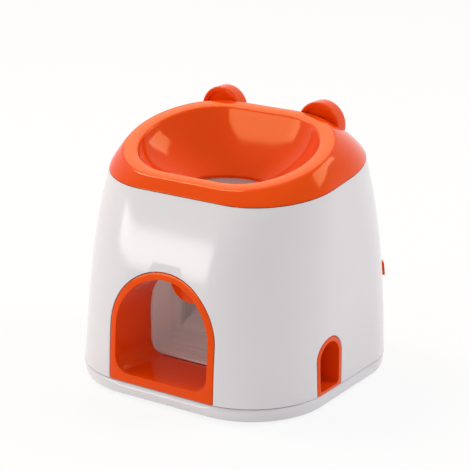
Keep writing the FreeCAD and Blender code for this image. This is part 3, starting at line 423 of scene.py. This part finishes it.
def roundEdges(piece, width, segments, angle=40):
    applyModifier(piece, "BEVEL", {"width": width * mm, "segments": segments,
                                   "limit_method": "ANGLE", "angle_limit": math.radians(angle),
                                   "use_clamp_overlap": True, "harden_normals": False})
    applyModifier(piece, "WEIGHTED_NORMAL", {"keep_sharp": True})


def block(name, low, high):
    bpy.ops.object.select_all(action="DESELECT")
    middle = [(a + b) / 2 * mm for a, b in zip(low, high)]
    middle[1] -= originShift * mm
    bpy.ops.mesh.primitive_cube_add(size=1.0, location=middle,
                                    scale=[(b - a) * mm for a, b in zip(low, high)])
    piece = bpy.context.object
    piece.name = name
    bpy.ops.object.transform_apply(location=True, rotation=True, scale=True)
    return piece


def boss(name, x, y, low, high, radius, sides=32):
    return rod(name, radius, high - low, (x, y, (low + high) / 2), sides=sides)


arch = {"radius": 45.8, "spring": 55.0, "inner": 40.5, "sill": 19.5, "corner": 12.0,
        "frameCorner": 1.2, "foot": 12.6, "start": 118.0, "back": -50.3, "axis": "Y",
        "edge": 1.1, "outerEdge": 0.6, "thick": 2.4, "cuts": (12, 6), "smooth": 40}
sideArch = {"radius": 16.0, "spring": 38.0, "inner": 12.45, "sill": 14.7, "corner": 3.0,
            "frameCorner": 0.8, "foot": 12.6, "centre": -24.6, "start": 118.0, "back": 79.0,
            "axis": "X", "edge": 0.8, "outerEdge": 0.5, "thick": 1.8, "cuts": (6, 4), "smooth": 40}
hinge = {"x": 12.0, "y": 100.2, "radius": 2.6, "lug": 6.0, "low": 86.0, "high": 128.0,
         "pin": 1.05, "inside": 94.2, "bore": (80.0, 140.0)}
mouthCut = {"x": (26.0, 54.0), "z": (122.0, 148.0), "corner": 4.0}
flapAxis = (-56.0, 102.0)  # y and z of the shaft that the outlet carries


def archCut(name, spec, cut, place, turn):
    # arch-topped prism that reaches below the casing
    radius = spec["radius"] + casing["gap"]
    height = spec["spring"] + radius
    return prism(name, (2 * radius, height, cut["depth"]), casing["cutFoot"], radius - relief,
                 (*place, height / 2), turn)


def pinBore():
    return boss("pin_bore", hinge["x"], hinge["y"], *hinge["bore"], hinge["pin"])


def casingAt(share):
    # upright low down, leaning in more and more towards the top; the back swells a little
    foot, head = casing["foot"], casing["head"]
    shape = between(foot, head, share, {"front": casing["cornerSwell"]})
    ends = [[part["centre"] + side * part["halfY"] for part in (foot, head)] for side in (-1, 1)]
    front = ends[0][0] + (ends[0][1] - ends[0][0]) * share ** casing["frontLean"]
    back = ends[1][0] + (ends[1][1] - ends[1][0]) * share
    back += 4 * casing["backSwell"] * share * (1 - share)
    shape["halfX"] = foot["halfX"] + (head["halfX"] - foot["halfX"]) * share ** casing["sideLean"]
    shape["halfY"], shape["centre"] = (back - front) / 2, (back + front) / 2
    return shape


def casingLevels(grow=0.0):
    levels = casing["levels"]
    return [inset(casingAt(i / levels), -grow) for i in range(levels + 1)]


def makeBody():
    # hollow shell with both arches and the refill mouth cut out, and the door's two lugs
    piece = startPiece("body_shell_moulding")
    loft(piece, casingLevels(), casing["cuts"])
    finishLoft(piece, False)
    applyModifier(piece, "SOLIDIFY", {"thickness": casing["wall"] * mm, "offset": -1.0,
                                      "use_even_offset": True})
    width = mouthCut["x"][1] - mouthCut["x"][0]
    height = mouthCut["z"][1] - mouthCut["z"][0]
    front, side, back = casing["frontCut"], casing["sideCut"], casing["backCut"]
    combine(piece, "DIFFERENCE",
            archCut("front_cut", arch, front, (0.0, front["at"]), "front"),
            archCut("side_cut", sideArch, side, (side["at"], sideArch["centre"]), "side"),
            prism("mouth_cut", (width, height, back["depth"]), mouthCut["corner"],
                  mouthCut["corner"], (sum(mouthCut["x"]) / 2, back["at"], sum(mouthCut["z"]) / 2)))
    for low in (hinge["low"], hinge["high"]):
        high = low + hinge["lug"]
        combine(piece, "UNION",
                block("lug_web", (hinge["x"] - hinge["radius"], hinge["inside"], low),
                      (hinge["x"] + hinge["radius"], hinge["y"], high)),
                boss("lug", hinge["x"], hinge["y"], low - overlap, high + overlap,
                     hinge["radius"]))
    combine(piece, "DIFFERENCE", pinBore())
    roundEdges(piece, casing["edge"], casing["edgeSteps"])
    dress(piece, "casing", "white_shell", casing["smooth"], "body_shell")
    print("body shell:", len(piece.data.polygons), "faces")


outletFace = {"rings": 4, "ringStep": 0.3, "formBelow": 6.0, "draw": 50.0, "crease": 0.8,
              "clear": 3.0, "cornerSteps": (6, 24), "edgeSteps": 4}


def archRing(piece, spec, share, place):
    # one arch-topped ring of the outlet's face, from its outer edge (0) to its opening (1)
    radius = spec["radius"] + (spec["inner"] - spec["radius"]) * share
    low = spec["foot"]
    bottom = low + (spec["sill"] - low) * share
    corner = spec["frameCorner"] + (spec["corner"] - spec["frameCorner"]) * share
    height = spec["spring"] + radius - bottom
    plate = {"halfX": radius, "halfY": height / 2, "front": corner, "back": radius - relief,
             "centre": originShift, "height": 0.0, "slope": 0.0}
    drawOutline(piece, plate, *spec["cuts"], outletFace["cornerSteps"])
    bpy.ops.mesh.select_all(action="SELECT")
    bpy.ops.transform.rotate(value=-quarter, orient_axis="X", center_override=(0.0, 0.0, 0.0))
    away = spec["start"] + outletFace["ringStep"] * place
    bpy.ops.transform.translate(value=(0.0, -away * mm, (bottom + height / 2) * mm))
    if spec["axis"] == "X":
        bpy.ops.transform.rotate(value=-quarter, orient_axis="Z", center_override=(0.0, 0.0, 0.0))
        bpy.ops.transform.translate(value=(0.0, (spec["centre"] - originShift) * mm, 0.0))
    joinRing(piece, place)


def outletShell(name, spec):
    # face of the outlet laid on the casing's curve, with its tunnel drawn back from the opening
    piece = startPiece(name)
    rings = outletFace["rings"]
    for place in range(rings):
        archRing(piece, spec, place / (rings - 1), place)
    bpy.ops.object.mode_set(mode="OBJECT")
    skirt = lifted(casing["foot"], -outletFace["formBelow"])
    form = loftSolid("casing_form", [skirt] + casingLevels())
    side = spec["axis"] == "X"
    axis = 0 if side else 1
    applyModifier(piece, "SHRINKWRAP", {"target": form, "wrap_method": "PROJECT",
                                        "use_project_x": side, "use_project_y": not side,
                                        "use_negative_direction": side,
                                        "use_positive_direction": not side})
    bpy.data.objects.remove(form)
    bpy.ops.object.mode_set(mode="EDIT")
    bpy.ops.mesh.select_mode(type="EDGE")
    pickRings(piece, (rings,))
    draw = outletFace["draw"] * mm
    step = (-draw, 0.0, 0.0) if side else (0.0, draw, 0.0)
    back = spec["back"] * mm if side else (spec["back"] - originShift) * mm
    bpy.ops.mesh.extrude_edges_move(TRANSFORM_OT_translate={"value": step})
    flat = (0.0, 1.0, 1.0) if side else (1.0, 0.0, 1.0)
    bpy.ops.transform.resize(value=flat, center_override=(back, back, back))
    bpy.ops.mesh.select_all(action="SELECT")
    bpy.ops.mesh.normals_make_consistent(inside=False)
    bpy.ops.object.mode_set(mode="OBJECT")
    facing = sum(face.normal[axis] * face.area for face in piece.data.polygons)
    if (facing < 0) == side:
        bpy.ops.object.mode_set(mode="EDIT")
        bpy.ops.mesh.select_all(action="SELECT")
        bpy.ops.mesh.flip_normals()
        bpy.ops.object.mode_set(mode="OBJECT")
    applyModifier(piece, "SOLIDIFY", {"thickness": spec["thick"] * mm, "offset": -1.0,
                                      "use_even_offset": True, "material_offset": 1})
    bpy.ops.object.mode_set(mode="EDIT")
    clear = outletFace["clear"] * mm
    for place, width in ((1, spec["outerEdge"]), (rings, spec["edge"])):
        pickRings(piece, (place,), lambda e: (e.calc_face_angle(0.0) > outletFace["crease"]
                                              and abs(e.verts[0].co[axis] - back) > clear
                                              and all(f.material_index == 0 for f in e.link_faces)))
        bpy.ops.mesh.bevel(offset=width * mm, segments=outletFace["edgeSteps"], affect="EDGES",
                           clamp_overlap=True)
    bpy.ops.object.mode_set(mode="OBJECT")
    for face in piece.data.polygons:
        face.material_index = 0
    return piece


outletParts = {"slotHalf": 18.4, "slotFront": -77.2, "slotLow": 75.0, "slotHigh": 120.0,
               "slotPast": 1.0, "lug": (24.0, 28.0), "lugRadius": 5.6, "legLow": 88.0,
               "bore": 4.5, "boreLength": 80.0, "screw": (49.0, -66.0), "webIn": 1.0,
               "webHalf": 1.2}
outletBoss = {"radius": 4.0, "low": 9.3, "high": 24.0, "pilot": 1.45, "pilotZ": (5.0, 22.0)}


def addScrewBoss(piece, x, y, webLow, webHigh):
    # a web from the tunnel's wall carries a pillar with a pilot hole for the screw
    combine(piece, "UNION", block("web", webLow, webHigh),
            boss("screw_boss", x, y, outletBoss["low"], outletBoss["high"] + overlap,
                 outletBoss["radius"]))
    combine(piece, "DIFFERENCE", boss("pilot", x, y, *outletBoss["pilotZ"], outletBoss["pilot"]))


def makeBallOutlet():
    # frame and tunnel, the slot that the flap hangs in, the shaft's lugs and two screw bosses
    own = outletParts
    piece = outletShell("ball_outlet_moulding", arch)
    combine(piece, "DIFFERENCE",
            block("slot", (-own["slotHalf"], own["slotFront"], own["slotLow"]),
                  (own["slotHalf"], arch["back"] + own["slotPast"], own["slotHigh"])))
    axisY, axisZ = flapAxis
    for side in (-1, 1):
        low, high = sorted((side * own["lug"][0], side * own["lug"][1]))
        centre = ((low + high) / 2, axisY, axisZ)
        combine(piece, "UNION",
                block("lug_leg", (low, axisY - own["lugRadius"], own["legLow"]),
                      (high, axisY + own["lugRadius"], axisZ)),
                rod("lug", own["lugRadius"], high - low + 2 * overlap, centre, "X"))
        x, y = side * own["screw"][0], own["screw"][1]
        web = sorted((side * (arch["inner"] + own["webIn"]), x))
        addScrewBoss(piece, x, y, (web[0], y - own["webHalf"], arch["sill"] - arch["thick"]),
                     (web[1], y + own["webHalf"], outletBoss["high"]))
    combine(piece, "DIFFERENCE", rod("bush_bore", own["bore"], own["boreLength"],
                                     (0.0, axisY, axisZ), "X"))
    applyModifier(piece, "WEIGHTED_NORMAL", {"keep_sharp": True})
    dress(piece, "casing", "orange_shell", arch["smooth"], "ball_outlet")
    print("ball outlet:", len(piece.data.polygons), "faces")


treatParts = {"screw": (87.0, 20.3), "webIn": 0.6, "webHalf": 1.0}


def makeTreatOutlet():
    own, centre = treatParts, sideArch["centre"]
    piece = outletShell("treat_outlet_moulding", sideArch)
    for side in (-1, 1):
        x, y = own["screw"][0], centre + side * own["screw"][1]
        web = sorted((centre + side * (sideArch["inner"] + own["webIn"]), y))
        addScrewBoss(piece, x, y, (x - own["webHalf"], web[0], sideArch["sill"]),
                     (x + own["webHalf"], web[1], outletBoss["high"]))
    applyModifier(piece, "WEIGHTED_NORMAL", {"keep_sharp": True})
    dress(piece, "casing", "orange_shell", sideArch["smooth"], "treat_outlet")
    print("treat outlet:", len(piece.data.polygons), "faces")


flap = {"halfWidth": 16.6, "thick": 3.0, "bottom": 69.5, "topCorner": 0.5, "hub": 5.0,
        "bore": 3.05, "boreLength": 60.0, "ribs": (-9.0, 0.0, 9.0), "ribHalf": 0.8,
        "ribProud": 1.6, "ribLow": 8.0, "ribTop": 2.0, "edge": 0.7, "edgeSteps": 3, "smooth": 35}


def makeFlap():
    # tongue that hangs in the outlet's slot, with its hub and the ribs on its back
    axisY, axisZ = flapAxis
    height = axisZ - flap["bottom"]
    face = axisY + flap["thick"] / 2
    piece = prism("trigger_flap_moulding", (2 * flap["halfWidth"], height, flap["thick"]),
                  flap["halfWidth"] - relief, flap["topCorner"],
                  (0.0, face, flap["bottom"] + height / 2))
    combine(piece, "UNION", rod("hub", flap["hub"], 2 * flap["halfWidth"] - relief / 2,
                                (0.0, axisY, axisZ), "X"))
    ribFoot = flap["bottom"] + flap["halfWidth"] - flap["ribLow"]
    for x in flap["ribs"]:
        combine(piece, "UNION", block("rib", (x - flap["ribHalf"], axisY, ribFoot),
                                      (x + flap["ribHalf"], face + flap["ribProud"],
                                       axisZ - flap["ribTop"])))
    combine(piece, "DIFFERENCE", rod("bore", flap["bore"], flap["boreLength"],
                                     (0.0, axisY, axisZ), "X"))
    roundEdges(piece, flap["edge"], flap["edgeSteps"])
    dress(piece, "trigger", "orange_shell", flap["smooth"], "trigger_flap")
    print("flap:", len(piece.data.polygons), "faces")


def capSides():
    # the shoulders, from the casing's head up to the rim
    levels = funnel["levels"]
    sides = []
    for i in range(levels + 1):
        shape = between(casing["head"], funnel["rim"], i / levels, funnel["bulge"])
        sides.append(lifted(shape, casing["seam"] * (1 - i / levels)))
    return sides


def capRings():
    # shoulders, the low crown of the rim, and the funnel down to its hole
    levels = funnel["levels"]
    rings = capSides()
    rings.append(lifted(between(funnel["rim"], funnel["mouth"], 0.5), funnel["crown"]))
    for i in range(levels + 1):
        rings.append(through(funnel["hole"], funnel["waist"], funnel["mouth"],
                             funnel["waistAt"], 1 - i / levels))
    rings.append(lifted(funnel["hole"], -funnel["throat"]))
    return rings


ear = {"radius": 17.6, "x": 43.5, "front": 48.5, "depth": 11.5, "height": 186.4, "lip": 1.3,
       "edge": 1.1, "edgeSteps": 6, "crease": 0.3, "creaseSteps": 2, "creaseAngle": 60,
       "steps": ((1.7, 0.8), (3.6, 2.4)), "cutFrom": 1.0, "sides": 96}


def makeEar(side):
    # round ear whose face steps in twice above its lip; each step is a rim and a depth
    x, high, sides = side * ear["x"], ear["height"], ear["sides"]
    disc = rod("ear", ear["radius"], ear["depth"], (x, ear["front"] + ear["depth"] / 2, high),
               "Y", sides)
    roundEdges(disc, ear["edge"], ear["edgeSteps"])
    inside = loftSolid("ear_trim", [inset(shape, funnel["wall"]) for shape in capSides()],
                       funnel["cuts"])
    combine(disc, "DIFFERENCE", inside)
    for rim, recess in ear["steps"]:
        cupDepth = recess + ear["cutFrom"]
        cup = rod("ear_cup", ear["radius"] - rim, cupDepth,
                  (x, ear["front"] + recess - cupDepth / 2, high), "Y", sides)
        bpy.ops.object.mode_set(mode="EDIT")
        bpy.ops.mesh.select_all(action="SELECT")
        bpy.ops.mesh.bisect(plane_co=(0.0, 0.0, (high + ear["lip"] + rim) * mm),
                            plane_no=(0.0, 0.0, 1.0), use_fill=True, clear_inner=True)
        bpy.ops.object.mode_set(mode="OBJECT")
        combine(disc, "DIFFERENCE", cup)
    roundEdges(disc, ear["crease"], ear["creaseSteps"], ear["creaseAngle"])
    return disc


def makeCap():
    # one lofted skin for shoulders, rim and funnel, given its wall, with both ears joined on
    piece = startPiece("top_cap_moulding")
    rings = capRings()
    loft(piece, rings, funnel["cuts"])
    rimRing = funnel["levels"] + 1
    for place, width in ((rimRing, funnel["rimEdge"]), (rimRing + 2, funnel["mouthEdge"]),
                         (len(rings) - 1, funnel["holeEdge"])):
        pickRings(piece, (place,))
        bpy.ops.mesh.bevel(offset=width * mm, segments=funnel["edgeSteps"], affect="EDGES",
                           clamp_overlap=True)
    finishLoft(piece, False)
    applyModifier(piece, "SOLIDIFY", {"thickness": funnel["wall"] * mm, "offset": -1.0,
                                      "use_even_offset": False})
    ears = [makeEar(side) for side in (-1, 1)]
    bpy.ops.object.select_all(action="DESELECT")
    for part in [piece] + ears:
        part.select_set(True)
    bpy.context.view_layer.objects.active = piece
    bpy.ops.object.join()
    applyModifier(piece, "WEIGHTED_NORMAL", {"keep_sharp": True})
    dress(piece, "casing", "orange_shell", funnel["smooth"], "top_cap")
    print("cap:", len(piece.data.polygons), "faces")


door = {"start": 15.2, "z": (68.0, 151.0), "corner": 8.0, "free": 83.0, "gap": 0.35, "thick": 2.4,
        "tab": {"start": 76.0, "height": 11.0, "corner": 2.6}, "knuckle": (92.3, 127.7),
        "end": 130.0, "sideFrom": 5.0, "webPast": 2.0, "webProud": 0.4, "edge": 0.5,
        "edgeSteps": 2, "smooth": 35}


def makeDoor():
    # curved leaf on the rear right corner, with a finger tab at the foot of its free edge
    low, high = door["z"]
    start, end, middle, corner = door["start"], door["end"], (low + high) / 2, door["corner"]
    piece = loftSolid("treat_door_moulding", casingLevels(door["gap"] + door["thick"]))
    face = prism("door_face", (end - start, high - low, end), corner, corner,
                 ((end + start) / 2, end, middle))
    side = prism("door_side", (end - door["free"], high - low, end), corner, corner,
                 (door["sideFrom"], (end + door["free"]) / 2, middle), "side")
    own = door["tab"]
    tab = prism("door_tab", (end - own["start"], own["height"], end), own["corner"], own["corner"],
                (door["sideFrom"], (end + own["start"]) / 2, low + own["height"] / 2), "side")
    combine(side, "UNION", tab)
    combine(piece, "INTERSECT", face, side)
    close = loftSolid("door_inside", casingLevels(door["gap"]))
    knuckleLow, knuckleHigh = door["knuckle"]
    web = block("knuckle_web", (hinge["x"], hinge["inside"], knuckleLow),
                (start + door["webPast"], hinge["y"] + door["webProud"], knuckleHigh))
    # known fault: this union leaves open edges, so the next cut leaves the leaf's inner side open
    combine(piece, "UNION", web)
    combine(piece, "DIFFERENCE", close)
    combine(piece, "UNION", boss("knuckle", hinge["x"], hinge["y"], knuckleLow + overlap,
                                 knuckleHigh - overlap, hinge["radius"]))
    combine(piece, "DIFFERENCE", pinBore())
    roundEdges(piece, door["edge"], door["edgeSteps"])
    dress(piece, "door", "orange_shell", door["smooth"], "treat_door")
    print("door:", len(piece.data.polygons), "faces")


well = {"node": "ball_ramp", "above": 139.5, "raise": 2.5}
copied = {"doubles": 0.01, "smooth": 30}


def raiseWell(piece):
    # the well's top edge reaches the funnel's underside
    bpy.ops.object.mode_set(mode="EDIT")
    bpy.ops.mesh.select_mode(type="VERT")
    pick(piece, "verts", lambda v: v.co.z > well["above"] * mm)
    bpy.ops.transform.translate(value=(0.0, 0.0, well["raise"] * mm))
    bpy.ops.object.mode_set(mode="OBJECT")


def smoothCopy(name, body):
    # a CAD node's own shape, merged and shaded round where it is round
    bpy.ops.object.select_all(action="DESELECT")
    nodes[name].select_set(True)
    bpy.context.view_layer.objects.active = nodes[name]
    bpy.ops.object.duplicate()
    piece = bpy.context.object
    piece.name = name + "_shown"
    bpy.ops.object.mode_set(mode="EDIT")
    bpy.ops.mesh.select_all(action="SELECT")
    bpy.ops.mesh.remove_doubles(threshold=copied["doubles"] * mm)
    bpy.ops.object.mode_set(mode="OBJECT")
    if name == well["node"]:
        raiseWell(piece)
    dress(piece, body, slotOf[name], copied["smooth"], name)


makeBody()
makeCap()
makeBallOutlet()
makeTreatOutlet()
makeFlap()
makeDoor()
moulded = ("body_shell", "top_cap", "ball_outlet", "treat_outlet", "trigger_flap", "treat_door")
for body, names in frame["record"]["behaviour"]["bodies"].items():
    for name in names:
        if name not in moulded:
            smoothCopy(name, body)


# metres; lift is how far the floor is brought up to white for the eye, room is the fill light
stageLook = {"size": 6.0, "colour": "F6F6F7", "rough": 0.6, "shine": 0.2, "depth": -0.0002,
             "lift": 0.85, "room": 0.54}
white = (1.0, 1.0, 1.0, 1.0)


def backgroundRays(tree):
    # 1 for the rays that should meet the plain white background
    path = addNode(tree, "ShaderNodeLightPath")
    seen = addNode(tree, "ShaderNodeMath", {"operation": "MAXIMUM"},
                   {0: path.outputs["Is Camera Ray"], 1: path.outputs["Is Glossy Ray"]})
    return addNode(tree, "ShaderNodeMath", {"operation": "MAXIMUM"},
                   {0: seen.outputs[0], 1: path.outputs["Is Transmission Ray"]})


def paleStage():
    bpy.ops.mesh.primitive_plane_add(size=stageLook["size"], location=(0, 0, stageLook["depth"]))
    floor = bpy.context.object
    floor.name = "floor"
    material, tree = newMaterial("pale floor")
    shader = addNode(tree, "ShaderNodeBsdfPrincipled", None,
                     {"Base Color": linearColour(stageLook["colour"]),
                      "Roughness": stageLook["rough"], "Specular IOR Level": stageLook["shine"]})
    glow = addNode(tree, "ShaderNodeEmission", None, {"Color": white})
    share = addNode(tree, "ShaderNodeMath", {"operation": "MULTIPLY"},
                    {0: backgroundRays(tree).outputs[0], 1: stageLook["lift"]})
    mix = addNode(tree, "ShaderNodeMixShader", None, {0: share.outputs[0]})
    tree.links.new(shader.outputs[0], mix.inputs[1])
    tree.links.new(glow.outputs[0], mix.inputs[2])
    finishMaterial(tree, mix)
    floor.data.materials.append(material)


def paleWorld():
    world = bpy.data.worlds.new("studio")
    bpy.context.scene.world = world
    world.use_nodes = True
    tree = world.node_tree
    tree.nodes.clear()
    room = addNode(tree, "ShaderNodeBackground", None,
                   {"Color": white, "Strength": stageLook["room"]})
    plain = addNode(tree, "ShaderNodeBackground", None, {"Color": white, "Strength": 1.0})
    mix = addNode(tree, "ShaderNodeMixShader", None, {0: backgroundRays(tree).outputs[0]})
    tree.links.new(room.outputs[0], mix.inputs[1])
    tree.links.new(plain.outputs[0], mix.inputs[2])
    out = addNode(tree, "ShaderNodeOutputWorld")
    tree.links.new(mix.outputs[0], out.inputs["Surface"])


# metres and watts
lampAim = (0, 0, 0.1)
lamps = {"left": {"at": (-1.25, -1.5, 0.45), "size": (1.2, 0.42), "watts": 7.6,
                  "colour": "FFFFFF"},
         "upper": {"at": (1.2, 0.9, 1.45), "size": (1.0, 0.8), "watts": 12.0,
                   "colour": "FFFFFF"},
         "crown": {"at": (-1.05, -0.1, 1.7), "size": (0.45, 0.9), "watts": 12.0,
                   "colour": "FFF0DC"},
         "rear": {"at": (-1.05, 1.0, 1.5), "size": (0.8, 0.8), "watts": 6.0,
                  "colour": "FFB878"}}


def addLamp(name, values):
    bpy.ops.object.light_add(type="AREA", location=values["at"])
    lamp = bpy.context.object
    lamp.name = name
    lamp.data.shape = "RECTANGLE"
    lamp.data.size, lamp.data.size_y = values["size"]
    lamp.data.energy = values["watts"]
    lamp.data.color = linearColour(values["colour"])[:3]
    aim = Vector(lampAim) - Vector(values["at"])
    lamp.rotation_euler = aim.to_track_quat("-Z", "Y").to_euler()


cameraView = {"at": (0.70786, -1.05964, 0.52724), "right": (0.83124, 0.55592, 0.00017),
              "up": (-0.17508, 0.26151, 0.94919), "back": (0.52763, -0.78903, 0.31471),
              "lens": 136.95, "sensor": 36.0}


def addCamera():
    data = bpy.data.cameras.new("camera")
    camera = bpy.data.objects.new("camera", data)
    bpy.context.scene.collection.objects.link(camera)
    axes = Matrix((cameraView["right"], cameraView["up"], cameraView["back"])).transposed()
    camera.matrix_world = Matrix.Translation(cameraView["at"]) @ axes.to_4x4()
    data.sensor_width = cameraView["sensor"]
    data.lens = cameraView["lens"]
    bpy.context.scene.camera = camera


paleStage()
paleWorld()
for lampName, lampValues in lamps.items():
    addLamp(lampName, lampValues)
addCamera()
bpy.context.scene.view_settings.view_transform = "Standard"
print("stage and camera ready")
